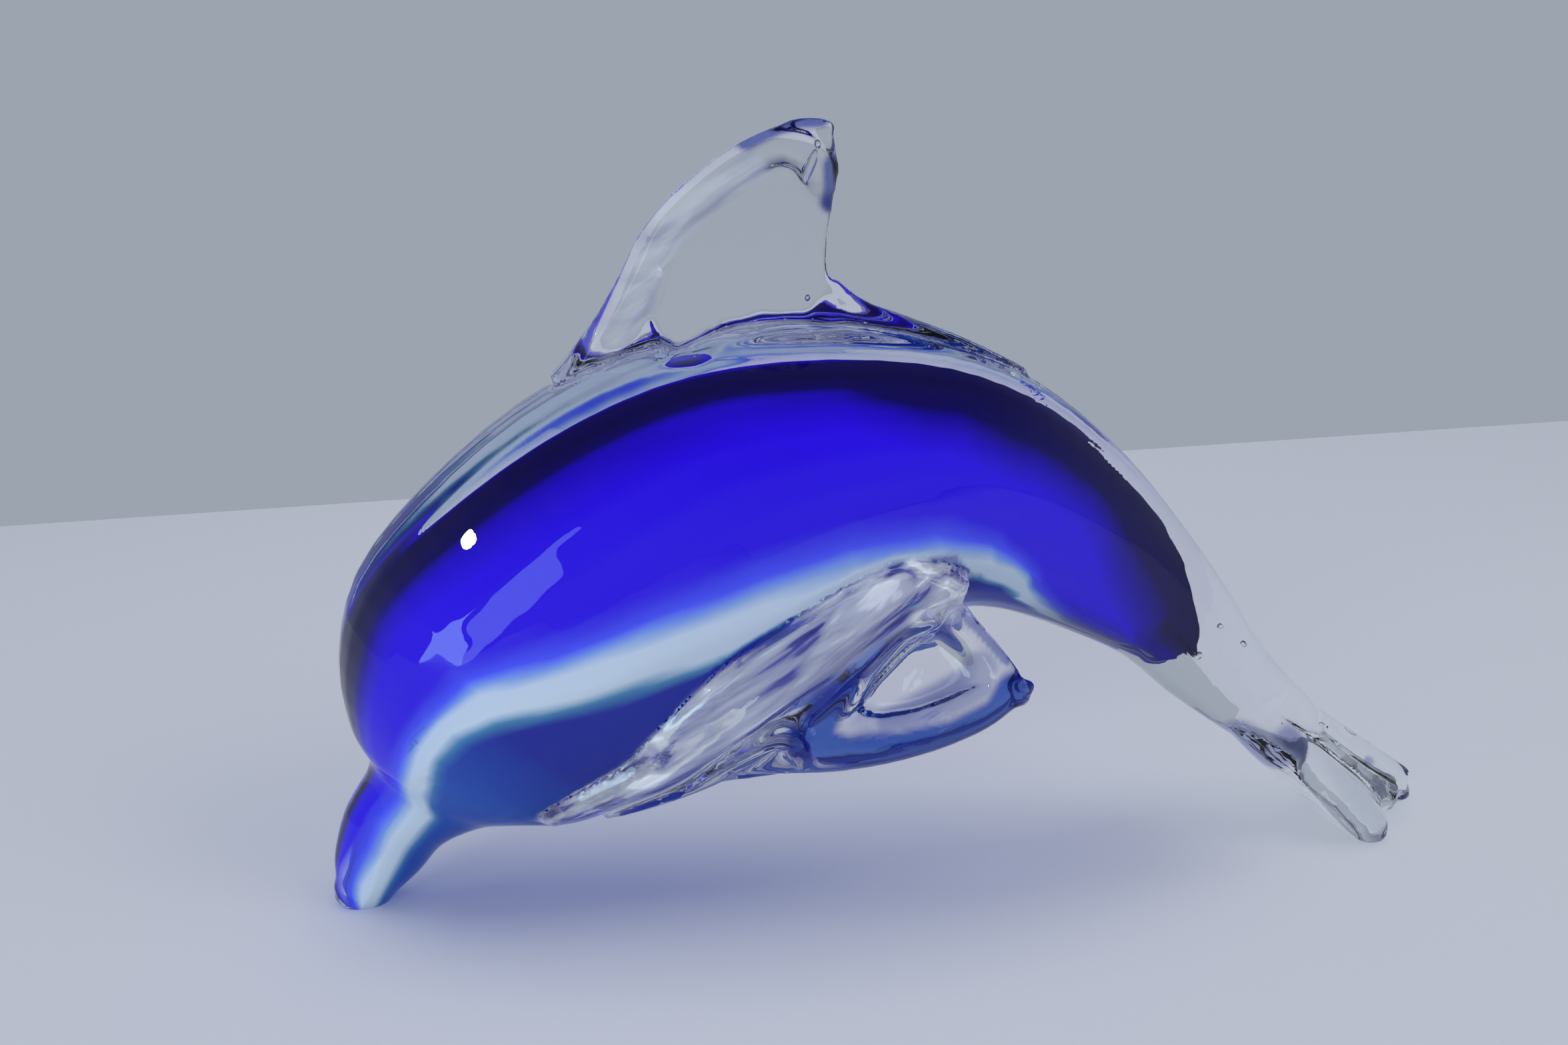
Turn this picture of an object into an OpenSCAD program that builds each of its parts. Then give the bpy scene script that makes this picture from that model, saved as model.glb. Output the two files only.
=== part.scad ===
// Leaping dolphin figurine of hand-worked cased glass: a white and cobalt core inside
// clear crystal, with clear fins and tail flukes fused on hot. It stands on its beak
// and its flukes. X runs from head to tail, Y across the body, Z up from the table.

/* [Figurine] */
// Overall length from the head to the tips of the flukes
figure_len = 124; // [100:1:150]
// Roundness of the body: its width beside the drawn width
girth = 1.0; // [0.85:0.01:1.1]

/* [Coloured core] */
// Thickness of the core beside its drawn thickness
core_girth = 1.0; // [0.9:0.01:1.05]
// Thickness of the cobalt overlay along the top of the core
overlay_t = 2.0; // [1.2:0.1:2.6]
// How far the overlay wraps round the core beside its drawn wrap
overlay_reach = 1.0; // [0.9:0.01:1.05]

/* [Fins] */
// Half thickness of the dorsal fin's rim
dorsal_half_t = 2.0; // [1.4:0.1:2.6]
// Half thickness of the pectoral fins' rims
pectoral_half_t = 3.0; // [2.2:0.1:3.4]
// How much thinner than its rim a fin is in the middle
fin_dish = 0.45; // [0.2:0.05:0.6]
// How far the near pectoral fin stands out from the belly
near_splay = 17.5; // [15:0.5:19]
// How far the far pectoral fin stands out
far_splay = 16; // [13:0.5:19]

/* [Tail] */
// Sideways distance from the middle to the tip of the left fluke
left_fluke_y = 6.5; // [5:0.5:8]
// Sideways distance from the middle to the tip of the right fluke
right_fluke_y = 4; // [3:0.5:8]
// Half breadth of a fluke's lobe
fluke_half_w = 4.2; // [3:0.1:5]

/* [Hidden] */

drawn_len = 124;            // the length at which the ribs below are drawn
size = figure_len / drawn_len;
body_steps = 3;             // rings between two ribs of the body
fin_steps = 4;              // rings between two ribs of a fin
body_sides = 32;            // points round a ring of the body
fin_sides = 20;             // points round a ring of a fin
strip_sides = 14;           // points round a ring of a fin's root strip
cap_rings = 3;              // rings that round off an end
overlay_arc = 18;           // steps of the overlay's arc, an even number
under_arc = 12;             // steps of the core's bare underside
thin_edge = 0.2 * size;     // thickness of the overlay's lower edges
floor_cut = 20;             // depth of the block that trims the resting faces

// A rib of the body: [back x, back z, belly x, belly z, half width]
body_ribs = [
    [-61.9, 3.2, -55.2, 1.2, 3.8],
    [-61.8, 6.0, -52.4, 3.6, 4.6],
    [-60.2, 11.0, -49.6, 6.6, 5.8],
    [-57.0, 16.4, -44.8, 8.4, 7.6],
    [-58.8, 20.8, -40.2, 8.6, 10.2],
    [-59.4, 28.6, -34.4, 8.4, 13.4],
    [-56.8, 37.4, -28.4, 10.4, 15.8],
    [-49.8, 45.6, -21.0, 12.4, 17.4],
    [-39.2, 54.0, -12.8, 16.0, 18.0],
    [-27.2, 59.4, -5.2, 20.6, 17.4],
    [-13.6, 60.6, 0.8, 26.0, 15.8],
    [1.6, 59.2, 6.2, 29.0, 14.0],
    [11.2, 56.4, 10.8, 28.8, 12.4],
    [19.0, 51.6, 15.4, 27.2, 11.0],
    [26.6, 44.4, 20.2, 25.0, 9.4],
    [32.8, 36.4, 26.0, 21.8, 7.8],
    [38.0, 28.8, 31.2, 17.0, 6.6],
    [42.8, 21.0, 36.8, 12.6, 5.6],
    [48.0, 15.0, 43.0, 8.0, 4.6]];

// The core's ribs, nearer to the belly than to the back and tapered towards the tail. The
// sixth number is how far the overlay wraps down each side from the top, in degrees.
core_ribs = [
    [-60.8, 4.6, -54.5, 2.9, 3.3, 92],
    [-58.9, 10.5, -50.9, 7.1, 4.4, 74],
    [-55.5, 15.4, -46.4, 9.4, 5.6, 66],
    [-56.6, 19.3, -42.8, 10.3, 7.3, 66],
    [-56.3, 26.1, -38.1, 11.4, 9.4, 78],
    [-52.8, 33.6, -32.8, 14.6, 10.9, 88],
    [-45.0, 40.0, -25.3, 17.4, 11.7, 97],
    [-34.2, 46.9, -16.8, 21.7, 11.9, 105],
    [-22.8, 51.6, -8.5, 26.4, 11.5, 111],
    [-10.5, 53.1, -1.4, 31.2, 10.4, 115],
    [2.7, 52.3, 5.5, 33.5, 9.2, 118],
    [11.1, 49.8, 10.9, 32.9, 8.2, 124],
    [18.1, 45.5, 15.9, 30.9, 7.3, 138],
    [24.8, 39.1, 21.2, 27.9, 6.2, 150],
    [30.4, 31.9, 27.3, 24.7, 5.0, 155],
    [32.5, 27.0, 29.4, 23.4, 3.0, 155]];

// A rib of a fin: [leading x, y, z, trailing x, y, z, half thickness]
dorsal_ribs = [
    [-35.0, 0, 52.0, 14.0, 0, 52.0, 2.6],
    [-29.2, 0, 59.6, 4.6, 0, 59.6, 1.7],
    [-26.9, 0, 64.0, -3.2, 0, 62.4, 1.2],
    [-25.4, 0, 68.4, -5.6, 0, 65.8, 1],
    [-23.8, 0, 71.8, -5.6, 0, 69.6, 0.95],
    [-21.2, 0, 75.0, -5.0, 0, 73.4, 0.9],
    [-17.4, 0, 77.8, -4.3, 0, 76.6, 0.95],
    [-14.0, 0, 80.4, -4.5, 0, 79.0, 1.05],
    [-10.6, 0, 81.6, -4.8, 0, 80.8, 0.9]];

// The pectoral fins' ribs have Y as a share of the splay
pectoral_ribs = [
    [1.0, -0.40, 37.2, -43.0, -0.14, 9.8, 1.4],
    [3.4, -0.52, 35.6, -31.0, -0.40, 12.6, 1.3],
    [5.6, -0.66, 33.6, -17.0, -0.60, 14.8, 1.1],
    [7.8, -0.80, 30.2, -4.0, -0.78, 17.2, 1],
    [9.8, -0.92, 27.4, 4.4, -0.91, 20.2, 0.95],
    [10.6, -0.97, 26.0, 8.2, -0.97, 22.4, 0.8]];

// The strip of glass along the lower flank that a pectoral fin is drawn out of
strip_ribs = [
    [-39.5, -0.67, 13.4, -38.5, -0.59, 11.6, 0.25],
    [-33.1, -0.79, 17.4, -30.3, -0.64, 14.0, 0.45],
    [-28.9, -0.86, 20.5, -25.0, -0.68, 16.0, 0.65],
    [-25.4, -0.93, 25.2, -19.5, -0.67, 17.5, 0.75],
    [-19.1, -0.96, 29.8, -13.5, -0.69, 20.5, 0.75],
    [-12.1, -0.94, 34.0, -7.6, -0.72, 25.5, 0.75],
    [-5.0, -0.87, 37.9, -2.6, -0.72, 31.0, 0.7],
    [-1.4, -0.83, 39.2, 1.1, -0.68, 33.0, 0.55],
    [2.6, -0.76, 38.0, 4.2, -0.66, 34.5, 0.35]];

// A rib of a fluke: [upper x, upper z, lower x, lower z, y share, half breadth share]
left_fluke_ribs = [
    [40.6, 17.4, 37.0, 13.4, 0.30, 0.75],
    [45.4, 12.8, 41.4, 8.4, 0.50, 0.95],
    [49.2, 9.0, 45.6, 4.8, 0.75, 1],
    [52.2, 6.0, 49.0, 1.6, 0.95, 0.95],
    [53.8, 4.2, 51.0, 0, 1, 0.8]];
right_fluke_ribs = [
    [43.0, 19.2, 39.0, 14.8, 0.30, 0.75],
    [48.8, 13.6, 44.6, 8.8, 0.50, 0.95],
    [54.2, 8.8, 50.2, 4.0, 0.75, 1],
    [58.6, 4.8, 55.2, 0.6, 0.95, 0.95],
    [60.4, 3.0, 58.0, -0.4, 1, 0.8]];

// Smooth curve through four values, t from 0 to 1 between the middle two
function through(a, b, c, d, t) =
    0.5 * (2 * b + (c - a) * t + (2 * a - 5 * b + 4 * c - d) * t * t
        + (3 * b - 3 * c + d - a) * t * t * t);

// Stations along a list of ribs, with the given number of steps between two ribs
function stations(ribs, steps) = let (last = len(ribs) - 1) [
    for (i = [0:last - 1]) for (j = [0:steps - 1])
        through(ribs[max(i - 1, 0)], ribs[i], ribs[i + 1], ribs[min(i + 2, last)], j / steps),
    ribs[last]];

function unit(v) = v / norm(v);
function top(rib) = [rib[0], rib[1], rib[2]];
function bottom(rib) = [rib[3], rib[4], rib[5]];
function middle(rib) = (top(rib) + bottom(rib)) / 2;

// Direction of a rib's thickness: square to the rib and to the way the ribs advance
function across(list, i) = let (last = len(list) - 1,
    way = middle(list[min(i + 1, last)]) - middle(list[max(i - 1, 0)]))
    unit(cross(way, top(list[i]) - bottom(list[i])));

// A cut through the shape: [centre, half height vector, half thickness vector]
function section(list, i) =
    [middle(list[i]), (top(list[i]) - bottom(list[i])) / 2, across(list, i) * list[i][6]];

// The section shrunk and moved outwards to round off an end
function capped(cut, out, k) = let (turn = 90 * k / (cap_rings + 1), reach = norm(cut[2]))
    [cut[0] + out * reach * sin(turn), cut[1] * cos(turn), cut[2] * cos(turn)];

// All sections of a shape with both its ends rounded off
function sections(list) = let (
    last = len(list) - 1,
    cuts = [for (i = [0:last]) section(list, i)],
    head = unit(cuts[0][0] - cuts[1][0]),
    tail = unit(cuts[last][0] - cuts[last - 1][0]))
    concat([for (k = [cap_rings:-1:1]) capped(cuts[0], head, k)], cuts,
        [for (k = [1:cap_rings]) capped(cuts[last], tail, k)]);

// A point of a section at an angle from its top, thinned in the middle by dish
function on_section(cut, angle, dish) =
    cut[0] + cut[1] * cos(angle) + cut[2] * sin(angle) * (1 - dish * pow(sin(angle), 4));

// Closed skin over rings that all have the same number of points
module skin(rings) {
    n = len(rings[0]);
    last = len(rings) - 1;
    points = concat([for (ring = rings) each ring],
        [centre_of(rings[0]), centre_of(rings[last])]);
    sides = [for (i = [0:last - 1]) for (j = [0:n - 1]) let (k = (j + 1) % n)
        each [[i * n + j, (i + 1) * n + j, (i + 1) * n + k],
            [i * n + j, (i + 1) * n + k, i * n + k]]];
    first_end = [for (j = [0:n - 1]) [len(points) - 2, j, (j + 1) % n]];
    last_end = [for (j = [0:n - 1])
        [len(points) - 1, last * n + (j + 1) % n, last * n + j]];
    polyhedron(points, concat(sides, first_end, last_end), convexity = 6);
}

function centre_of(ring) = [for (axis = [0:2]) let (v = [for (p = ring) p[axis]]) total(v) / len(v)];
function total(v) = v * [for (x = v) 1];

// Skin over ribs, with round ends
module loft(ribs, steps, sides, dish) {
    skin([for (cut = sections(stations(ribs, steps)))
        [for (j = [0:sides - 1]) on_section(cut, 360 * j / sides, dish)]]);
}

// The body's and the core's ribs in the form that the sections need
function upright(r) = [r[0], 0, r[1], r[2], 0, r[3], r[4] * girth] * size;
outer_ribs = [for (r = body_ribs) upright(r)];

// A rib of the core made thicker or thinner about its middle
function core_rib(rib) = let (m = middle(rib), half = (top(rib) - m) * core_girth)
    concat(m + half, m - half, rib[6] * core_girth);
core_cuts = sections(stations([for (r = core_ribs) core_rib(upright(r))], body_steps));

// Angle from the top to the overlay's lower edge, for each of the core's sections
drawn_wraps = stations([for (r = core_ribs) r[5]], body_steps);
core_wraps = overlay_reach * concat([for (k = [1:cap_rings]) drawn_wraps[0]], drawn_wraps,
    [for (k = [1:cap_rings]) drawn_wraps[len(drawn_wraps) - 1]]);

// Thickness of the overlay at a share of the way from the top to its thin lower edges
function overlay_at(cut, share) =
    min(overlay_t * size, norm(cut[2]) * 0.45) * pow(cos(90 * share), 0.7) + thin_edge;

// Points of the overlay's outer and inner arcs, and of the core's bare underside
function outer_arc(cut, wrap) = [for (j = [0:overlay_arc])
    on_section(cut, wrap * (2 * j / overlay_arc - 1), 0)];
function inner_arc(cut, wrap) = [for (j = [0:overlay_arc])
    let (share = 2 * j / overlay_arc - 1,
        p = on_section(cut, wrap * share, 0), inward = cut[0] - p)
    p + unit(inward) * overlay_at(cut, share)];
function under_arc_points(cut, wrap) = [for (j = [0:under_arc])
    on_section(cut, wrap + (360 - 2 * wrap) * j / under_arc, 0)];

// Rings of the whole core, of the overlay and of the opal
function core_ring(cut, wrap) = concat(outer_arc(cut, wrap), inside(under_arc_points(cut, wrap)));
function overlay_ring(cut, wrap) = concat(outer_arc(cut, wrap), reversed(inner_arc(cut, wrap)));
function opal_ring(cut, wrap) = concat(inner_arc(cut, wrap), under_arc_points(cut, wrap));
cut_count = len(core_cuts);
function reversed(list) = [for (i = [len(list) - 1:-1:0]) list[i]];
function inside(list) = [for (i = [1:len(list) - 2]) list[i]];

module body_skin() {
    loft(outer_ribs, body_steps, body_sides, 0);
}

// Block below the table, which gives the piece its flat resting faces
module below_table() {
    translate([-figure_len, -figure_len, -floor_cut])
        cube([2 * figure_len, 2 * figure_len, floor_cut]);
}

module crystal_casing() {
    color("aliceblue", 0.4) difference() {
        body_skin();
        skin([for (i = [0:cut_count - 1]) core_ring(core_cuts[i], core_wraps[i])]);
        below_table();
    }
}

module cobalt_overlay() {
    color("mediumblue") skin(
        [for (i = [0:cut_count - 1]) overlay_ring(core_cuts[i], core_wraps[i])]);
}

module opal_core() {
    color("ghostwhite") skin(
        [for (i = [0:cut_count - 1]) opal_ring(core_cuts[i], core_wraps[i])]);
}

module dorsal_fin() {
    ribs = [for (r = dorsal_ribs) [for (i = [0:6]) r[i] * (i < 6 ? 1 : dorsal_half_t)] * size];
    color("lightcyan", 0.5) difference() {
        loft(ribs, fin_steps, fin_sides, fin_dish);
        body_skin();
    }
}

// Ribs stood out from the middle by the splay. side is 1 for the left fin, -1 for the right
function splayed(ribs, splay, side) = [for (r = ribs)
    [r[0], r[1] * splay * side, r[2], r[3], r[4] * splay * side, r[5],
        r[6] * pectoral_half_t] * size];

module pectoral_fin(splay, side) {
    color("lightcyan", 0.5) difference() {
        union() {
            loft(splayed(pectoral_ribs, splay, side), fin_steps, fin_sides, fin_dish);
            loft(splayed(strip_ribs, splay, side), fin_steps, strip_sides, 0);
        }
        body_skin();
    }
}

module pectoral_fin_left() {
    pectoral_fin(near_splay, 1);
}

module pectoral_fin_right() {
    pectoral_fin(far_splay, -1);
}

// The lobe of a fluke whose tip stands at the given Y
module fluke_lobe(ribs, tip_y) {
    loft([for (r = ribs) [r[0], r[4] * tip_y, r[1], r[2], r[4] * tip_y, r[3], r[5] * fluke_half_w] * size],
        fin_steps, fin_sides, 0);
}

module tail_fluke_left() {
    color("lightcyan", 0.5) difference() {
        fluke_lobe(left_fluke_ribs, -left_fluke_y);
        body_skin();
        below_table();
    }
}

module tail_fluke_right() {
    color("lightcyan", 0.5) difference() {
        fluke_lobe(right_fluke_ribs, right_fluke_y);
        body_skin();
        fluke_lobe(left_fluke_ribs, -left_fluke_y);
        below_table();
    }
}

crystal_casing();
cobalt_overlay();
opal_core();
dorsal_fin();
pectoral_fin_left();
pectoral_fin_right();
tail_fluke_left();
tail_fluke_right();
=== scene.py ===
import math

import bpy
import numpy as np
from mathutils import Matrix, Vector
from mathutils.bvhtree import BVHTree


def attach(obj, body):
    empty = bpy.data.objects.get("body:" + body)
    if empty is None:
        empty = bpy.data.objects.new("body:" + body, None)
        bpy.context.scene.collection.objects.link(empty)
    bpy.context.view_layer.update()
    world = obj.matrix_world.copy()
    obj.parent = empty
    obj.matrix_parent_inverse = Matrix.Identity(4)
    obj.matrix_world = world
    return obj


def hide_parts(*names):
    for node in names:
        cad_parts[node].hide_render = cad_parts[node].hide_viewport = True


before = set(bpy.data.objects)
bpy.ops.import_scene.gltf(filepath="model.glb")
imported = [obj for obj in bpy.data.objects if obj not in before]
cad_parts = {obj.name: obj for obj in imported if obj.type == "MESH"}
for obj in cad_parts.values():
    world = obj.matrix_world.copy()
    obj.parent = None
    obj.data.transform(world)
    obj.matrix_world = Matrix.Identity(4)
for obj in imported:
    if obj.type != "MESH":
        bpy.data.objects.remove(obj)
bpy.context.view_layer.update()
mm = 0.001
scene = bpy.context.scene

# The core's ribs as [back x, back z, belly x, belly z] in mm, from the beak to the tail
coreRibs = [
    (-60.8, 4.6, -54.5, 2.9), (-58.9, 10.5, -50.9, 7.1), (-55.5, 15.4, -46.4, 9.4),
    (-56.6, 19.3, -42.8, 10.3), (-56.3, 26.1, -38.1, 11.4), (-52.8, 33.6, -32.8, 14.6),
    (-45.0, 40.0, -25.3, 17.4), (-34.2, 46.9, -16.8, 21.7), (-22.8, 51.6, -8.5, 26.4),
    (-10.5, 53.1, -1.4, 31.2), (2.7, 52.3, 5.5, 33.5), (11.1, 49.8, 10.9, 32.9),
    (18.1, 45.5, 15.9, 30.9), (24.8, 39.1, 21.2, 27.9), (30.4, 31.9, 27.3, 24.7),
    (32.5, 27.0, 29.4, 23.4),
]


def chosen(*things):
    # nothing but these is selected, and the first is active
    bpy.ops.object.select_all(action="DESELECT")
    for thing in things:
        thing.select_set(True)
    bpy.context.view_layer.objects.active = things[0]
    return things[0]


def editAll(*steps):
    bpy.ops.object.mode_set(mode="EDIT")
    bpy.ops.mesh.select_all(action="SELECT")
    for step in steps:
        step()
    bpy.ops.object.mode_set(mode="OBJECT")


def nodeCopy(node, name):
    # a merged copy of a CAD node, free of its body
    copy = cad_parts[node].copy()
    copy.data = copy.data.copy()
    copy.name = name
    copy.parent = None
    copy.hide_render = False
    for key in list(copy.keys()):
        del copy[key]
    bpy.context.collection.objects.link(copy)
    copy.data.materials.clear()
    chosen(copy)
    editAll(lambda: bpy.ops.mesh.remove_doubles(threshold=1e-6))
    return copy


def outerShell(piece):
    # drops the inner wall of a hollow copy
    chosen(piece)
    editAll(lambda: bpy.ops.mesh.separate(type="LOOSE"))
    shells = sorted(bpy.context.selected_objects, key=lambda o: o.dimensions.length)
    for inner in shells[:-1]:
        bpy.data.objects.remove(inner)
    return shells[-1]


def modified(piece, kind, **settings):
    modifier = piece.modifiers.new(kind, kind)
    for key, value in settings.items():
        setattr(modifier, key, value)
    chosen(piece)
    bpy.ops.object.modifier_apply(modifier=modifier.name)
    return piece


def tube(points, radii, name):
    # a tapered rod through points, all in mm
    data = bpy.data.curves.new(name, "CURVE")
    data.dimensions = "3D"
    data.bevel_depth = mm
    data.bevel_resolution = 3
    data.use_fill_caps = True
    line = data.splines.new("NURBS")
    line.points.add(len(points) - 1)
    for spot, place, radius in zip(line.points, points, radii):
        spot.co = (place[0] * mm, place[1] * mm, place[2] * mm, 1)
        spot.radius = radius
    line.order_u = 4
    line.use_endpoint_u = True
    line.resolution_u = 6
    rod = bpy.data.objects.new(name, data)
    bpy.context.collection.objects.link(rod)
    chosen(rod)
    bpy.ops.object.convert(target="MESH")
    return bpy.context.object


def spotsOf(piece):
    # its vertices as rows of x, y and z in mm
    spots = np.empty(len(piece.data.vertices) * 3)
    piece.data.vertices.foreach_get("co", spots)
    return spots.reshape(-1, 3) / mm


def addAttribute(piece, name, values):
    layer = piece.data.attributes.new(name, "FLOAT", "POINT")
    layer.data.foreach_set("value", np.array(values, np.float32))


def eased(share):
    # 0 to 1 with a soft start and end
    share = np.clip(share, 0, 1)
    return share * share * (3 - 2 * share)


def offSegment(spots, start, end):
    # how each spot lies off the nearest point between start and end
    span = end - start
    t = np.clip(((spots - start) @ span) / (span @ span), 0, 1)
    return spots - start - t[:, None] * span


def treeOf(piece):
    mesh = piece.data
    return BVHTree.FromPolygons([v.co for v in mesh.vertices], [p.vertices for p in mesh.polygons])


glass = {
    "voxel": 0.42,  # mm
    "smoothing": 12,
    "stripSmoothing": 16,  # more, over the pulled strands
    "seamRounds": 8,
    "seamLift": 0.35,  # how far a fin stands off the body where it starts, mm
    "farSide": -0.93,  # the far pectoral fin mirrors the near one, a little closer in
    "pinchReach": 6,  # a pinch moves the glass this near to the middle of a fin, mm
    "zoneEdge": 0.45,  # the share of a zone's reach over which it fades out
    "zoneAcross": 0.6,  # distances across the figurine count by this share in a zone
    "streakLift": (0.12, 0.52),  # streaks come in between these heights off the body, mm
    "bend": 1.5,  # index of refraction
    "tint": (0.985, 0.99, 1.0),
    # the blue of the painted refraction, where the clear glass would show the core
    "paintedRefractionTint": (0.008, 0.036, 0.42),
    "lampTint": (0.96, 0.98, 1),  # of the light that falls through
    "strandTurn": -0.54,  # radians, the way that the strands run
    "strandLength": 9,  # times as long as they are wide
    # painted light: the streaks glow a little, and run from dark to pale as light bent in the
    # strands would
    "strandGrain": 520.0,
    "strandPaintedGlow": 0.3,
    "strandCover": 0.7,
    "strandColours": [
        (0.32, (0.010, 0.010, 0.08)), (0.40, (0.08, 0.08, 0.34)), (0.45, (0.34, 0.36, 0.48)),
        (0.54, (0.50, 0.53, 0.60)), (0.61, (0.60, 0.64, 0.70)), (0.66, (0.92, 0.96, 1.0))],
}

# Rods of glass melted into the skin: points and radii in mm
dorsalRods = {
    "leadingRim": ([(-33.5, 0, 55.5), (-29.0, 0, 60.4), (-26.0, 0, 65.6), (-24.2, 0, 69.8),
                    (-21.6, 0, 73.2), (-17.6, 0, 76.4), (-14.0, 0, 78.7), (-10.0, 0, 79.9)],
                   [2.6, 2.4, 2.2, 2.0, 1.9, 1.8, 1.9, 2.0]),
    "tipKnob": ([(-11.5, 0, 79.6), (-8.2, 0, 79.7), (-6.6, 0, 77.6), (-6.1, 0, 75.4),
                 (-5.9, 0, 72.6)], [1.7, 2.4, 2.2, 1.5, 0.6]),
    "trailingFoot": ([(-5.6, 0, 65.4), (-3.6, 0, 62.2), (-0.5, 0, 60.6), (4.0, 0, 58.9),
                      (9.0, 0, 56.9), (15.0, 0, 53.8)], [0.8, 1.5, 1.9, 1.7, 1.6, 1.2]),
    "seamNear": ([(-31.0, -1.5, 57.0), (-26.5, -2.2, 57.8), (-22.3, -2.7, 56.9),
                  (-18.5, -2.8, 58.3), (-13.0, -2.8, 60.0), (-7.8, -2.6, 60.0),
                  (-3.0, -2.2, 59.8), (4.0, -2.2, 58.0), (12.0, -2.0, 55.0)],
                 [1.0, 1.3, 1.1, 1.2, 1.3, 1.1, 1.3, 1.1, 0.8]),
    "seamFar": ([(-31.0, 1.5, 57.0), (-26.0, 2.2, 58.4), (-20.0, 2.8, 58.2), (-13.0, 2.7, 60.2),
                 (-7.0, 2.5, 60.2), (-1.0, 2.2, 59.6), (6.0, 2.2, 57.6), (12.0, 1.8, 55.2)],
                [0.9, 1.2, 1.2, 1.1, 1.2, 1.2, 1.1, 0.8]),
}
pectoralRods = {
    "rootMain": ([(-38.5, -11.4, 12.6), (-31.5, -13.0, 15.8), (-26.0, -14.6, 19.6),
                  (-20.0, -15.8, 24.4), (-13.0, -15.9, 29.2), (-7.0, -15.2, 33.0),
                  (-2.0, -14.4, 35.8), (2.0, -13.4, 36.6), (5.2, -12.2, 34.4)],
                 [1.2, 1.9, 2.6, 3.1, 3.1, 2.8, 2.5, 2.2, 1.9]),
    "rootLow": ([(-33.0, -10.8, 12.8), (-27.0, -11.8, 14.8), (-21.0, -12.8, 17.6),
                 (-15.0, -13.8, 21.6), (-9.0, -14.2, 26.6), (-3.0, -13.8, 31.4),
                 (2.0, -12.8, 34.4)], [1.2, 1.7, 2.2, 2.3, 2.1, 1.8, 1.6]),
    "strandTop": ([(-30.0, -14.0, 18.2), (-24.0, -16.8, 24.6), (-18.0, -17.4, 29.2),
                   (-11.0, -16.8, 33.0), (-4.5, -15.6, 36.2), (0.5, -14.4, 37.4),
                   (4.4, -12.4, 36.0)], [1.0, 1.7, 1.9, 1.9, 1.9, 1.8, 1.3]),
    "strandHook": ([(-23.0, -13.4, 16.8), (-17.5, -15.6, 20.6), (-14.0, -16.2, 22.6),
                    (-12.6, -15.8, 20.2), (-12.0, -15.0, 17.6)], [1.2, 1.5, 1.5, 1.3, 1.0]),
    "leafLowerRim": ([(-20.0, -10.6, 18.0), (-13.0, -12.4, 18.7), (-8.0, -13.6, 19.2),
                      (-1.8, -14.8, 20.4), (4.0, -15.8, 22.2), (7.6, -16.2, 23.8),
                      (9.0, -16.2, 25.0)], [2.0, 2.9, 3.1, 3.1, 2.9, 2.6, 2.2]),
    "leafUpperRim": ([(8.8, -16.0, 25.4), (7.4, -14.8, 27.8), (5.4, -13.4, 30.4),
                      (3.2, -12.4, 33.0)], [2.2, 2.1, 2.0, 2.0]),
    "leafRoot": ([(3.0, -13.0, 34.0), (-2.5, -12.2, 30.0), (-6.8, -12.6, 25.6),
                  (-9.4, -13.2, 21.6), (-10.0, -13.6, 19.6)], [1.9, 2.1, 2.4, 2.6, 2.4]),
    "tipBead": ([(10.0, -16.8, 24.2), (11.0, -17.0, 24.8)], [1.5, 1.2]),
}
tailRods = {
    "webFar": ([(44.0, 1.0, 14.4), (49.0, 0.8, 10.2), (53.5, 0.4, 6.8), (57.4, 0.2, 4.0),
                (59.6, 0.2, 2.9)], [2.6, 2.7, 2.7, 2.6, 2.2]),
    "webNear": ([(43.0, -2.0, 13.6), (47.6, -2.8, 9.2), (51.8, -3.0, 5.8), (55.0, -2.9, 3.6),
                 (57.2, -2.5, 2.7)], [2.4, 2.5, 2.5, 2.3, 2.0]),
}

# Windows where a fin was pinched thin: outlines as x and z, and thicknesses, in mm
dorsalWindow = {
    "outline": [(-23.5, 67.9), (-23.0, 66.7), (-23.9, 64.5), (-25.1, 63.3), (-24.4, 60.5),
                (-22.3, 58.3), (-19.0, 59.9), (-15.6, 61.1), (-12.7, 61.8), (-11.0, 61.5),
                (-7.8, 61.2), (-6.0, 63.4), (-5.0, 65.1), (-3.5, 68.0), (-4.0, 72.2),
                (-7.3, 74.8), (-8.6, 77.6), (-10.4, 78.2), (-12.0, 77.4), (-14.9, 75.9),
                (-19.2, 73.2), (-21.9, 70.5)],
    "halfThick": 0.65,
    "step": 0.8,  # breadth of the step at its edge
    "plane": (0, 0, 0),  # y = first + second * x + third * z
}
leafWindow = {
    "outline": [(-1.0, 30.0), (-4.6, 26.0), (-6.2, 22.9), (-5.6, 21.2), (-3.2, 21.0),
                (0.4, 21.8), (3.4, 23.2), (6.0, 25.0), (6.4, 26.4), (5.4, 28.4), (3.0, 30.6)],
    "halfThick": 0.8,
    "step": 3.4,
    "plane": (-21.93, -0.3815, 0.3618),
}
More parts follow.
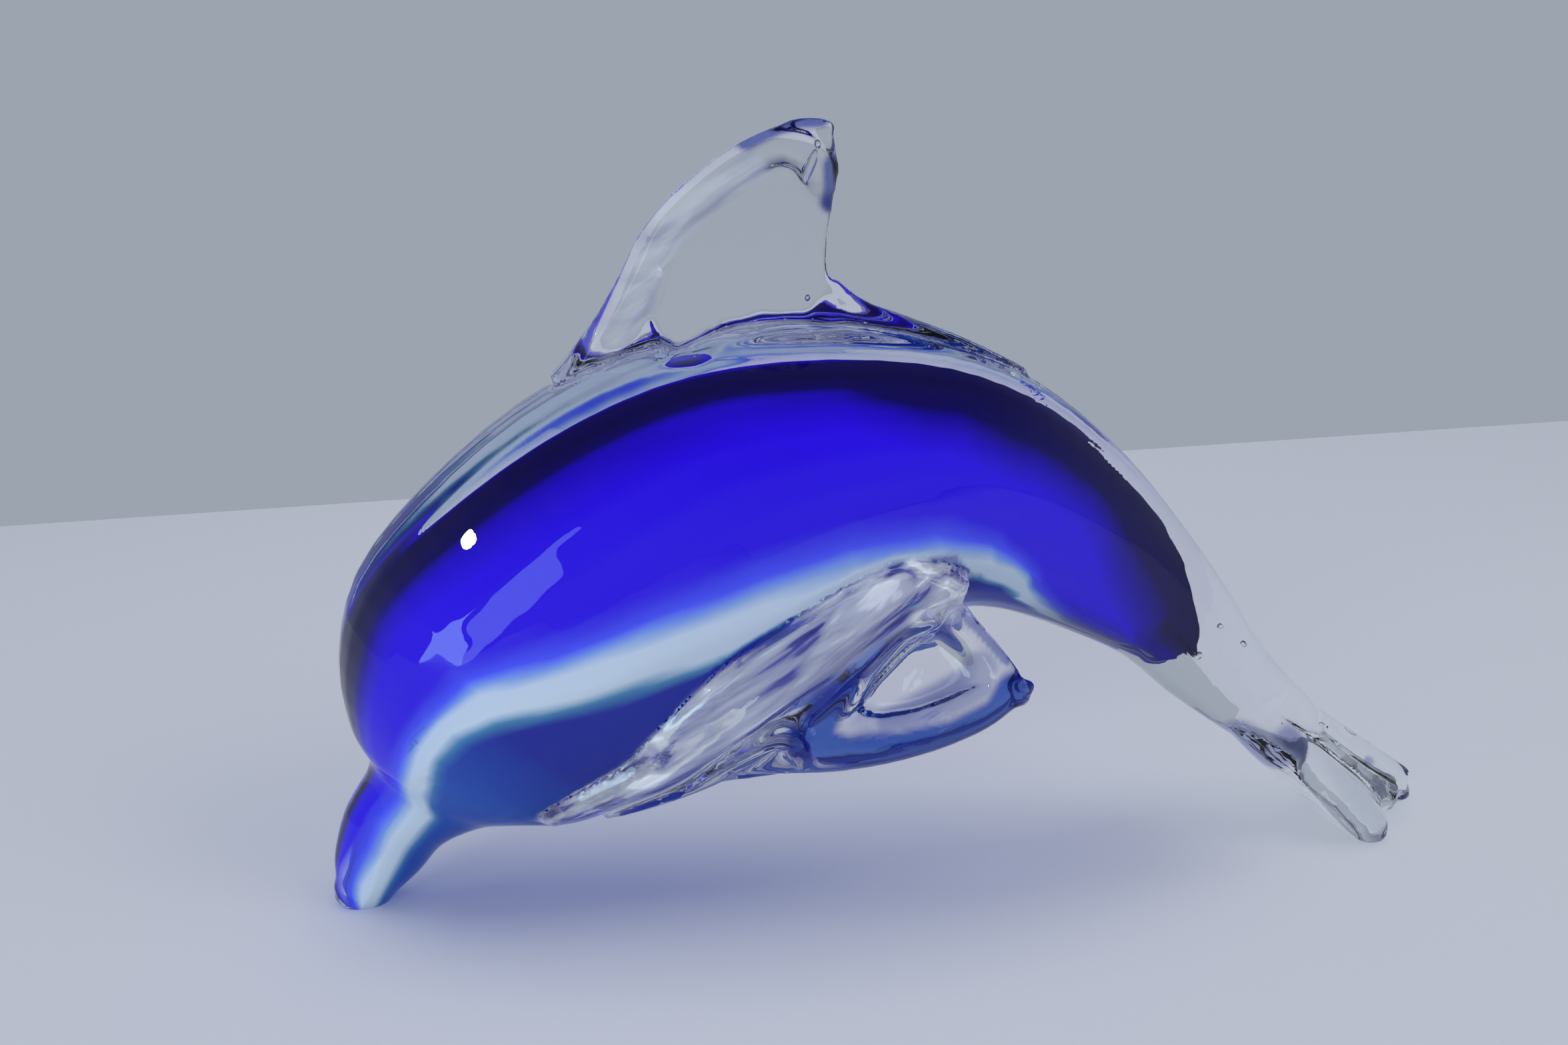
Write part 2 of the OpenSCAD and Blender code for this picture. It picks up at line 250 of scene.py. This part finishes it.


# Painted refraction: the clear glass is tinted blue where the core's blue would show through it,
# bent: points and reach in mm, strength
paintedRefractions = {
    "finTop": ([(-14.0, -0.9, 80.6), (-11.8, -1.2, 81.6), (-9.0, -0.9, 82.5), (-6.3, -0.7, 82.5)],
               1.5, 0.95),
    "finTip": ([(-5.1, -1.0, 77.4), (-5.0, -0.8, 75.2), (-5.2, -0.4, 73.8)], 1.7, 0.95),
    "leafBottom": ([(-12.4, -16.2, 20.9), (-7.8, -16.6, 19.2), (-2.2, -17.4, 19.4),
                    (3.4, -18.1, 20.6), (7.9, -18.4, 22.9), (9.4, -18.2, 25.2)], 2.6, 1.0),
    "leafLeft": ([(-10.6, -15.8, 22.2), (-8.6, -16.0, 26.2), (-5.4, -15.7, 29.6),
                  (-2.4, -15.6, 32.4)], 2.9, 1.0),
    "leafPatch": ([(-2.6, -15.7, 21.6), (2.4, -15.5, 23.7), (6.0, -16.2, 25.8),
                   (6.6, -15.6, 27.4)], 2.3, 0.6),
    "leafUpper": ([(3.6, -14.3, 34.2), (6.5, -15.1, 31.2), (9.0, -16.4, 28.0)], 0.7, 0.8),
    "leafCorner": ([(2.0, -14.3, 38.2), (4.3, -13.0, 38.1), (6.9, -10.4, 34.5), (4.6, -14.1, 33.9)],
                   0.9, 0.9),
    "rootStreak": ([(-23.4, -17.3, 24.0), (-18.2, -18.8, 29.0)], 0.8, 0.7),
    "tailNotch": ([(38.4, -4.8, 12.6), (41.3, -6.0, 10.8), (43.6, -6.2, 11.8)], 2.6, 0.75),
    "tailLine": ([(34.0, -2.4, 15.4), (36.0, -2.1, 13.8), (37.9, -4.0, 13.1)], 0.5, 0.7),
    "tailEdge": ([(54.6, -1.8, 7.1), (57.8, 0.9, 4.4)], 0.7, 0.7),
}
# Painted pale and dark streaks over the pulled strands, standing in for light bent and caught in
# them, and a painted highlight along the dorsal fin's rim, in the same form
paintedStreaks = {
    "leafRootStrip": ([(-37.0, -12.6, 14.6), (-30.2, -15.0, 18.6), (-24.0, -16.6, 22.4),
                       (-18.0, -17.4, 26.4), (-11.0, -17.0, 31.0), (-5.0, -15.8, 34.4),
                       (1.0, -14.3, 36.6), (4.0, -12.6, 35.6)], 5.2, 0.85),
    "finRim": ([(-29.6, 0, 58.6), (-27.2, 0, 62.4), (-24.6, 0, 68.4), (-21.8, 0, 72.2),
                (-17.6, 0, 75.6), (-13.5, 0, 77.8)], 2.3, 0.26),
    "leafInnerRing": ([(-7.4, -16.2, 23.2), (-2.6, -15.9, 22.4), (2.0, -16.4, 22.8)], 0.8, 0.5),
}


def meltTogether():
    # one skin over the body, fins and flukes, blended where they are fused
    sources = {"crystal_casing": outerShell(nodeCopy("crystal_casing", "bodyGlass"))}
    for node in ("dorsal_fin", "pectoral_fin_left", "pectoral_fin_right",
                 "tail_fluke_left", "tail_fluke_right"):
        sources[node] = nodeCopy(node, node + "_bit")
    addRods(sources, "dorsal_fin", dorsalRods, 1)
    addRods(sources, "pectoral_fin_left", pectoralRods, 1)
    addRods(sources, "pectoral_fin_right", pectoralRods, glass["farSide"])
    addRods(sources, "tail_fluke_left", tailRods, 1)
    trees = {node: treeOf(source) for node, source in sources.items()}
    skin = chosen(*sources.values())
    bpy.ops.object.join()
    skin.data.remesh_voxel_size = glass["voxel"] * mm
    bpy.ops.object.voxel_remesh()
    pinch(skin, dorsalWindow, 1)
    pinch(skin, leafWindow, 1)
    pinch(skin, leafWindow, -1)
    modified(skin, "SMOOTH", factor=0.5, iterations=glass["smoothing"])
    marks = {"paintedRefraction": markZones(skin, paintedRefractions), "paintedStreak": markZones(skin, paintedStreaks)}
    for i in np.flatnonzero(marks["paintedStreak"]):
        lift = trees["crystal_casing"].find_nearest(skin.data.vertices[i].co)[3] / mm
        marks["paintedStreak"][i] *= np.interp(lift, glass["streakLift"], (0, 1))
    strip = skin.vertex_groups.new(name="strip")
    strip.add(np.flatnonzero(marks["paintedStreak"] > 0).tolist(), 1, "REPLACE")
    modified(skin, "SMOOTH", factor=0.5, iterations=glass["stripSmoothing"], vertex_group="strip")
    skin.vertex_groups.clear()
    for name, values in marks.items():
        addAttribute(skin, name, values)
    print("melted glass", len(skin.data.polygons))
    return skin, trees


def addRods(sources, node, rods, side):
    for name, (points, radii) in rods.items():
        rod = tube([(x, y * side, z) for x, y, z in points], radii, node + name)
        chosen(sources[node], rod)
        bpy.ops.object.join()


def pinch(skin, window, side):
    # presses the glass inside an outline to an even thin sheet, with a soft step round it
    spots = spotsOf(skin)
    first, second, third = window["plane"]
    middle = (first + second * spots[:, 0] + third * spots[:, 2]) * side
    off = spots[:, 1] - middle
    depth = insideDepth(spots[:, [0, 2]], np.array(window["outline"]))
    share = eased(depth / window["step"] + 0.5)  # half the step lies outside the outline
    thin = np.clip(off, -window["halfThick"], window["halfThick"])
    pressed = middle + off + (thin - off) * share
    spots[:, 1] = np.where(np.abs(off) < glass["pinchReach"], pressed, spots[:, 1])
    skin.data.vertices.foreach_set("co", (spots * mm).ravel())
    skin.data.update()


def markZones(skin, zones):
    # how strongly each vertex lies in the zones, 0 to 1
    spots = spotsOf(skin)
    across = (1, glass["zoneAcross"], 1)
    total = np.zeros(len(spots))
    for name, (points, reach, strength) in zones.items():
        # the pectoral fins are marked on both sides
        sides = (1, glass["farSide"]) if name.startswith(("leaf", "root")) else (1,)
        for side in sides:
            line = np.array(points) * (1, side, 1)
            for start, end in zip(line, line[1:]):
                gap = np.linalg.norm(offSegment(spots, start, end) * across, axis=1)
                share = eased((reach - gap) / (glass["zoneEdge"] * reach))
                total = np.maximum(total, strength * share)
    return total


def insideDepth(places, outline):
    # distance to the outline, positive inside it
    gap = np.full(len(places), np.inf)
    inside = np.zeros(len(places), bool)
    for start, end in zip(outline, np.roll(outline, -1, 0)):
        span = end - start
        gap = np.minimum(gap, np.linalg.norm(offSegment(places, start, end), axis=1))
        crosses = (start[1] > places[:, 1]) != (end[1] > places[:, 1])
        rise = span[1] or math.inf  # a level edge is never crossed
        reach = start[0] + (places[:, 1] - start[1]) * span[0] / rise
        inside ^= crosses & (places[:, 0] < reach)
    return np.where(inside, gap, -gap)


def splitSkin(skin, trees):
    # each face goes to the bit of glass that it lies on
    names = list(trees)
    mesh = skin.data
    mesh.materials.clear()
    for name in names:
        mesh.materials.append(bpy.data.materials.new(name + "_mark"))
    belongs = np.zeros(len(mesh.polygons), int)
    for face in mesh.polygons:
        onBody = trees["crystal_casing"].find_nearest(face.center)[3]
        if onBody > glass["seamLift"] * mm:
            reach = [trees[name].find_nearest(face.center)[3] for name in names]
            belongs[face.index] = int(np.argmin(reach))
    belongs = smoothEdges(mesh, belongs, len(names))
    mesh.polygons.foreach_set("material_index", belongs)
    chosen(skin)
    editAll(lambda: bpy.ops.mesh.separate(type="MATERIAL"))
    parts = {}
    for part in bpy.context.selected_objects:
        mark = part.data.materials[part.data.polygons[0].material_index]
        parts[mark.name.removesuffix("_mark")] = part
    for name, part in parts.items():
        closeSeams(part, name)
    return parts


def smoothEdges(mesh, belongs, kinds):
    # a face joins the bit that most of its neighbours lie on, which rounds the seams
    edges = np.empty(len(mesh.loops), int)
    mesh.loops.foreach_get("edge_index", edges)
    sizes = np.empty(len(mesh.polygons), int)
    mesh.polygons.foreach_get("loop_total", sizes)
    faces = np.repeat(np.arange(len(sizes)), sizes)
    sides = faces[np.argsort(edges, kind="stable")].reshape(-1, 2)
    for _ in range(glass["seamRounds"]):
        votes = np.zeros((len(sizes), kinds))
        votes[np.arange(len(sizes)), belongs] = 0.5  # its own vote counts half
        np.add.at(votes, (sides[:, 0], belongs[sides[:, 1]]), 1)
        np.add.at(votes, (sides[:, 1], belongs[sides[:, 0]]), 1)
        belongs = votes.argmax(1)
    return belongs


def closeSeams(part, name):
    # the fused face inside is closed, and light passes it unbent
    part.name = part.data.name = name + "_glass"
    part.data.materials.clear()
    part.data.materials.append(crystal)
    part.data.materials.append(fusedSeam)
    before = len(part.data.polygons)
    part.data.polygons.foreach_set("material_index", [0] * before)
    chosen(part)
    bpy.ops.object.mode_set(mode="EDIT")
    bpy.ops.mesh.select_all(action="DESELECT")
    bpy.ops.mesh.select_mode(type="EDGE")
    bpy.ops.mesh.select_non_manifold(extend=False)
    bpy.ops.mesh.mark_sharp()
    bpy.ops.mesh.select_all(action="SELECT")
    bpy.ops.mesh.fill_holes(sides=0)
    bpy.ops.mesh.select_mode(type="FACE")
    bpy.ops.object.mode_set(mode="OBJECT")
    for face in part.data.polygons[before:]:
        face.material_index = 1
    bpy.ops.object.shade_smooth()


class Value:
    # a shader socket that takes Python arithmetic
    def __init__(self, paint, socket):
        self.paint, self.socket = paint, socket

    def __mul__(self, other):
        return self.paint.add("Math", {"operation": "MULTIPLY"}, _0=self, _1=other)

    __rmul__ = __mul__


class Paint:
    # the nodes of a material or a world while they are put together
    def __init__(self, name, kind="Material"):
        self.kind = kind
        self.owner = (bpy.data.worlds if kind == "World" else bpy.data.materials).new(name)
        self.owner.use_nodes = True
        self.tree = self.owner.node_tree
        self.tree.nodes.clear()

    def add(self, kind, settings=None, stops=None, output=0, **values):
        # values go by their socket's name, or by its number after a _
        node = self.tree.nodes.new("ShaderNode" + kind)
        for key, value in (settings or {}).items():
            setattr(node, key, value)
        if stops:
            ramp = node.color_ramp
            while len(ramp.elements) < len(stops):
                ramp.elements.new(1)
            for element, (place, colour) in zip(ramp.elements, stops):
                element.position = place
                element.color = (*colour, 1)
        for key, value in values.items():
            socket = node.inputs[int(key[1:]) if key[0] == "_" else key.replace("_", " ")]
            if isinstance(value, Value):
                self.tree.links.new(value.socket, socket)
            else:
                socket.default_value = value
        return Value(self, node.outputs[output])

    def attribute(self, name):
        return self.add("Attribute", {"attribute_name": name}, output="Fac")

    def blend(self, share, base, colour):
        # a plain colour laid over the base
        return self.add("Mix", {"data_type": "RGBA"}, output=2, _0=share, _6=base, _7=(*colour, 1))

    def letLampsPass(self, shader, tint):
        # the light of lamps goes straight on and comes out tinted
        tinted = self.add("BsdfTransparent", Color=(*tint, 1))
        shadow = self.add("LightPath", output="Is Shadow Ray")
        return self.add("MixShader", _0=shadow, _1=shader, _2=tinted)

    def finish(self, shader):
        end = self.tree.nodes.new("ShaderNodeOutput" + self.kind)
        self.tree.links.new(shader.socket, end.inputs["Surface"])
        return self.owner


def crystalPaint():
    paint = Paint("clearCrystal")
    # painted refraction: the clear glass is tinted blue where the core's blue would be seen bent
    # through it
    tint = paint.blend(paint.attribute("paintedRefraction"), (*glass["tint"], 1), glass["paintedRefractionTint"])
    clear = paint.add("BsdfPrincipled", Base_Color=tint, Roughness=0.0, IOR=glass["bend"],
                      Transmission_Weight=1.0)
    place = paint.add("TexCoord", output="Object")
    along = paint.add("Mapping", {"vector_type": "TEXTURE"}, Vector=place,
                      Rotation=(0, glass["strandTurn"], 0), Scale=(glass["strandLength"], 1, 1))
    grain = paint.add("TexNoise", Vector=along, Scale=glass["strandGrain"], Detail=3.0,
                      Distortion=0.4)
    colour = paint.add("ValToRGB", stops=glass["strandColours"], Fac=grain)
    # painted streaks and highlights, with a painted glow, standing in for light bent and caught in
    # the strands
    strand = paint.add("BsdfPrincipled", Base_Color=colour, Roughness=0.12, Coat_Weight=1.0,
                       Coat_Roughness=0.03, Emission_Color=colour,
                       Emission_Strength=glass["strandPaintedGlow"])
    cover = paint.attribute("paintedStreak") * glass["strandCover"]
    mixed = paint.add("MixShader", _0=cover, _1=clear, _2=strand)
    return paint.finish(paint.letLampsPass(mixed, glass["lampTint"]))


def seamPaint():
    paint = Paint("fusedSeam")
    return paint.finish(paint.add("BsdfTransparent", Color=(1, 1, 1, 1)))


crystal = crystalPaint()
fusedSeam = seamPaint()
skin, trees = meltTogether()
parts = splitSkin(skin, trees)
for node, part in parts.items():
    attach(part, "root")
    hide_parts(node)
print("clear glass done")


core = {
    # where round the core each change of colour lies, in degrees from the back, at places
    # counted in ribs from the beak: place, navy ends, blue fades, white starts, white ends,
    # teal ends
    "bands": [
        (0.0, 8, 18, 66, 112, 134), (0.6, 9, 38, 80, 109, 130), (1.0, 10, 42, 80, 106, 126),
        (2.0, 12, 42, 72, 94, 110), (3.0, 18, 47, 64, 81, 95), (4.0, 21, 52, 61, 74, 85),
        (4.5, 20, 55, 63, 75, 87), (5.0, 16, 58, 69, 85, 96), (5.5, 15, 64, 78, 94, 103),
        (6.0, 15, 71, 85, 102, 111), (6.5, 15, 77, 91, 109, 118), (7.0, 15, 82, 97, 117, 125),
        (7.5, 15, 86, 102, 123, 130), (8.3, 14, 90, 109, 131, 139), (9.0, 19, 94, 114, 135, 143),
        (10.0, 42, 97, 117, 135, 143), (11.0, 55, 105, 120, 134, 143),
        (11.5, 55, 111, 122, 140, 148), (12.0, 58, 122, 134, 152, 162),
        (12.5, 67, 136, 152, 166, 172), (13.0, 88, 152, 168, 174, 177),
        (14.0, 120, 162, 174, 177, 179), (15.0, 160, 170, 176, 178, 179)],
    "hueSteps": (0, 0.2, 0.4, 0.5, 0.6, 0.7, 1),  # at the back, each change, and the belly
    # below the white band the blue is partly the core's own and partly painted shade, for the under
    # side that light reaches only through the cobalt; at the belly it is lighter again, painted
    # light bounced up from the floor
    "colours": [
        (0.0, (0.003, 0.0002, 0.06)), (0.13, (0.004, 0.0002, 0.10)),
        (0.26, (0.024, 0.0005, 0.86)), (0.38, (0.026, 0.001, 0.90)),
        (0.44, (0.09, 0.12, 0.92)), (0.485, (0.32, 0.50, 0.82)),
        (0.52, (0.72, 0.83, 0.91)), (0.59, (0.72, 0.83, 0.91)),
        (0.64, (0.08, 0.30, 0.52)), (0.70, (0.002, 0.018, 0.38)),
        (0.86, (0.002, 0.022, 0.40)), (1.0, (0.01, 0.10, 0.55))],
    "brightHues": (0.6, 0.7),  # the under side is bright blue from these hues
    "brightUnder": (3.7, 5.0),  # and before these places
    "brightColour": (0.006, 0.11, 0.56),
    "brightCover": 0.85,
    "shadeTurns": (125, 165),  # painted shade darkens it to a deep blue from these degrees
    "shadeUnder": (12.2, 13.2),  # and after these places
    "paintedShadeColour": (0.012, 0.004, 0.16),
    "paintedShadeCover": 0.8,
    "overlayFades": (0.38, 0.5),  # hues between which the overlay thins out to nothing
    "lampTint": (0.26, 0.38, 0.74),
    # painted glow: the core gives off a little light of its own colour, standing in for light
    # scattered back from the opal
    "paintedGlow": 0.12,
    "smoothing": 4,
    "beakReach": 0.85,  # how far the core is drawn on into the tip of the beak, mm
    "beakStart": 0.6,  # the place where that begins
    "frayStart": 14.2,  # the place where the torn end begins
    "frayDepth": 1.3,  # mm
    "teeth": ((5, 0.7, 1.0), (9, 0, 0.8), (16, 2, 0.6)),  # count, turn and height of its waves
}


def ribPlace(spot, middles):
    # the nearest place on the middle line: which rib it follows, and the share to the next
    best = (math.inf, 0, 0)
    for i in range(len(middles) - 1):
        span = middles[i + 1] - middles[i]
        t = min(max((spot - middles[i]) @ span / (span @ span), 0), 1)
        gap = np.linalg.norm(spot - middles[i] - t * span)
        if gap < best[0]:
            best = (gap, i, t)
    return best[1:]


def markAndTear(piece):
    # hue: 0 at the back, 1 under the belly, with each change of colour at an even step
    # shade: painted shade, a darker blue under the tail; shine: how bright it is under the head
    # the end at the beak is drawn on and the end at the tail torn as well
    points = np.array(coreRibs)
    backs, bellies = points[:, :2] * mm, points[:, 2:] * mm
    middles = (backs + bellies) / 2
    tailward = (middles[-1] - middles[-2]) / np.linalg.norm(middles[-1] - middles[-2])
    beakward = (middles[0] - middles[1]) / np.linalg.norm(middles[0] - middles[1])
    bands = np.array(core["bands"], float)
    hues, shades, shines = [], [], []
    for vertex in piece.data.vertices:
        spot = np.array((vertex.co.x, vertex.co.z))
        i, t = ribPlace(spot, middles)
        middle = middles[i] * (1 - t) + middles[i + 1] * t
        up = backs[i] * (1 - t) + backs[i + 1] * t - middle
        height = (spot - middle) @ up / np.linalg.norm(up)
        turn = math.degrees(math.atan2(abs(vertex.co.y), height))
        edges = [np.interp(i + t, bands[:, 0], bands[:, k]) for k in range(1, 6)]
        hues.append(np.interp(turn, [0, *edges, 180], core["hueSteps"]))
        shades.append(np.interp(turn, core["shadeTurns"], [0, 1])
                      * np.interp(i + t, core["shadeUnder"], [0, 1]))
        shines.append(np.interp(hues[-1], core["brightHues"], [0, 1])
                      * np.interp(i + t, core["brightUnder"], [1, 0]))
        drawn = np.interp(i + t, [0, core["beakStart"]], [1, 0]) * core["beakReach"] * mm
        torn = np.interp(i + t, [core["frayStart"], len(points) - 1], [0, 1])
        tooth = tearAt(math.atan2(vertex.co.y, height), np.sign(height))
        move = beakward * drawn + tailward * torn * tooth * core["frayDepth"] * mm
        vertex.co.x += move[0]
        vertex.co.z += move[1]
    addAttribute(piece, "hue", hues)
    addAttribute(piece, "shade", shades)
    addAttribute(piece, "shine", shines)


def tearAt(angle, side):
    # how far the torn end reaches at an angle round the core, longer towards the back
    waves = sum(tall * math.sin(count * angle + turn) for count, turn, tall in core["teeth"])
    return 0.5 * (waves + side)


def bandColour(paint, hue):
    bands = paint.add("ValToRGB", stops=core["colours"], Fac=hue)
    lit = paint.blend(paint.attribute("shine") * core["brightCover"], bands, core["brightColour"])
    # painted shade: a darker blue laid under the tail
    return paint.blend(paint.attribute("shade") * core["paintedShadeCover"], lit, core["paintedShadeColour"])


def corePaint(name, faded):
    paint = Paint(name)
    hue = paint.attribute("hue")
    colour = bandColour(paint, hue)
    layer = paint.add("BsdfPrincipled", Base_Color=colour, Roughness=0.4, Specular_IOR_Level=0.0,
                      Emission_Color=colour, Emission_Strength=core["paintedGlow"])
    layer = paint.letLampsPass(layer, core["lampTint"])
    if faded:
        start, end = core["overlayFades"]
        bare = paint.add("MapRange", {"interpolation_type": "SMOOTHSTEP"},
                         _0=hue, _1=start, _2=end)
        layer = paint.add("MixShader", _0=bare, _1=layer, _2=paint.add("BsdfTransparent"))
    return paint.finish(layer)


def makeCore():
    for node, material in (("opal_core", corePaint("opalGlass", False)),
                           ("cobalt_overlay", corePaint("cobaltGlass", True))):
        piece = nodeCopy(node, node + "_glass")
        editAll(lambda: bpy.ops.mesh.tris_convert_to_quads())
        modified(piece, "SUBSURF", levels=1, render_levels=1)
        modified(piece, "SMOOTH", factor=0.5, iterations=core["smoothing"])
        markAndTear(piece)
        piece.data.materials.append(material)
        bpy.ops.object.shade_smooth()
        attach(piece, "root")
        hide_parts(node)
        "opal_glass" if node == "opal_core" else "cobalt_glass"


bubbles = {
    # places of seed bubbles in mm, and their radii across and along their pull
    "places": [(-7.4, 0.0, 77.4, 0.55, 1.7), (-6.7, -0.5, 79.6, 0.4, 0.5),
               (-8.0, 0.3, 63.8, 0.3, 0.35), (10.3, -17.0, 25.2, 0.45, 0.6),
               (10.9, -16.8, 24.2, 0.3, 0.4), (35.5, -3.0, 25.2, 0.28, 0.4),
               (38.4, -2.6, 22.6, 0.3, 0.5), (48.6, -3.2, 12.4, 0.3, 0.5),
               (50.2, -3.4, 10.2, 0.28, 0.4), (53.2, 0.6, 9.4, 0.35, 0.9),
               (55.4, 1.4, 7.2, 0.3, 0.6), (56.2, -3.4, 4.4, 0.3, 0.4),
               (33.8, -1.8, 22.4, 0.45, 0.5)],
    "finPull": 0.25,  # radians, the way that they are drawn out in the dorsal fin
    "tailPull": 2.2,  # and behind it
    "sortFrom": (1, 0.7, 0.5),  # a place off to the side, in m
}


def bubblePaint():
    paint = Paint("bubbleAir")
    air = paint.add("BsdfPrincipled", Base_Color=(1, 1, 1, 1), Roughness=0.0,
                    IOR=1 / glass["bend"], Transmission_Weight=1.0)
    return paint.finish(paint.letLampsPass(air, (1, 1, 1)))


def makeBubbles():
    grown = []
    for x, y, z, across, along in bubbles["places"]:
        bpy.ops.mesh.primitive_uv_sphere_add(segments=16, ring_count=8, radius=mm,
                                             location=(x * mm, y * mm, z * mm))
        bubble = bpy.context.object
        bubble.scale = (across, across, along)
        bubble.rotation_euler = (0, bubbles["tailPull"] if x > 0 else bubbles["finPull"], 0)
        grown.append(bubble)
    chosen(*grown)
    bpy.ops.object.transform_apply(location=False, rotation=True, scale=True)
    bpy.ops.object.join()
    bpy.ops.object.transform_apply(location=True, rotation=True, scale=True)
    # a new sphere's faces come in a different order each time, so they are sorted
    scene.cursor.location = bubbles["sortFrom"]
    editAll(lambda: bpy.ops.mesh.sort_elements(
        type="CURSOR_DISTANCE", elements={"VERT", "EDGE", "FACE"}))
    piece = bpy.context.object
    piece.name = piece.data.name = "seed_bubbles"
    piece.data.materials.append(bubblePaint())
    bpy.ops.object.shade_smooth()
    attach(piece, "root")


makeBubbles()
makeCore()
print("core done")


stage = {
    "floorSize": (1.6, 1.0),
    "floorMiddle": (0, -0.33),
    "floorColour": (0.72, 0.73, 0.76),
    "walls": [(0.15, (0.33, 0.37, 0.43)), (0.75, (0.10, 0.12, 0.19))],
}


def makeStage():
    bpy.ops.mesh.primitive_plane_add(size=1, location=(*stage["floorMiddle"], 0))
    floor = bpy.context.object
    floor.name = "floor"
    floor.scale = (*stage["floorSize"], 1)
    bpy.ops.object.transform_apply(location=True, rotation=False, scale=True)
    paint = Paint("paleFloor")
    floor.data.materials.append(paint.finish(paint.add(
        "BsdfPrincipled", Base_Color=(*stage["floorColour"], 1), Roughness=0.9)))
    paint = Paint("softRoom", "World")
    height = paint.add("SeparateXYZ", output="Z", _0=paint.add("TexCoord", output="Generated"))
    walls = paint.add("ValToRGB", stops=stage["walls"], Fac=height)
    scene.world = paint.finish(paint.add("Background", Color=walls))


head, body = (-0.04, 0, 0.035), (0, 0, 0.03)  # what the lamps point at, in m
lamps = {
    # the two panes and the bulb show as highlights on the head, the others only light it
    "paneLow": {"place": (-0.48, -0.358, 0.056), "target": head, "size": (0.17, 0.20),
                "power": 0.42, "colour": (0.65, 0.95, 0.95)},
    "paneTall": {"place": (-0.38, -0.49, 0.14), "target": head, "size": (0.07, 0.35),
                 "power": 0.15, "colour": (0.7, 0.9, 1), "tilt": -25},
    "bulb": {"place": (-0.526, -0.144, 0.377), "target": body, "size": (0.008, 0.008),
             "power": 0.03, "shape": "ELLIPSE"},
    "fill": {"place": (0.5, -0.4, 0.5), "target": body, "size": (0.5, 0.5), "power": 1.2,
             "colour": (1, 0.98, 0.95), "seen": False},
    "front": {"place": (-0.5, -0.6, 0.35), "target": body, "size": (0.4, 0.4), "power": 1.2,
              "colour": (0.95, 0.98, 1), "seen": False},
    "top": {"place": (0, 0.1, 0.7), "target": body, "size": (0.5, 0.5), "power": 2.2,
            "colour": (0.95, 0.97, 1), "seen": False},
}


def lamp(name, place, target, size, power, colour=(1, 1, 1), seen=True, tilt=0,
         shape="RECTANGLE"):
    data = bpy.data.lights.new(name, "AREA")
    data.shape = shape
    data.size, data.size_y = size
    data.energy = power
    data.color = colour
    light = bpy.data.objects.new(name, data)
    bpy.context.collection.objects.link(light)
    light.location = place
    light.visible_glossy = seen
    light.visible_transmission = False
    facing = (Vector(target) - Vector(place)).to_track_quat("-Z", "Y").to_matrix()
    light.rotation_euler = (facing @ Matrix.Rotation(math.radians(tilt), 3, "Z")).to_euler()


# angles in degrees, lengths in mm
view = {"azimuth": -7.28, "elevation": 16.0, "roll": 2.0, "lens": 50.0, "sensor": 36.0,
        "target": (-11.30, 0.0, 39.61), "distance": 233.64}


def makeCamera():
    azimuth, elevation = math.radians(view["azimuth"]), math.radians(view["elevation"])
    back = Vector((math.sin(azimuth) * math.cos(elevation),
                   -math.cos(azimuth) * math.cos(elevation), math.sin(elevation)))
    data = bpy.data.cameras.new("camera")
    data.lens = view["lens"]
    data.sensor_width = view["sensor"]
    data.clip_start = 0.01
    camera = bpy.data.objects.new("camera", data)
    bpy.context.collection.objects.link(camera)
    camera.location = Vector(view["target"]) * mm + back * view["distance"] * mm
    facing = (-back).to_track_quat("-Z", "Y").to_matrix()
    roll = Matrix.Rotation(math.radians(-view["roll"]), 3, "Z")
    camera.rotation_euler = (facing @ roll).to_euler()
    scene.camera = camera


makeStage()
makeCamera()
for name, values in lamps.items():
    lamp(name, **values)
scene.view_settings.view_transform = "Standard"
# the light has many walls of glass to pass
scene.cycles.transparent_max_bounces = 32
scene.cycles.max_bounces = 24
scene.cycles.transmission_bounces = 24
print("stage done")
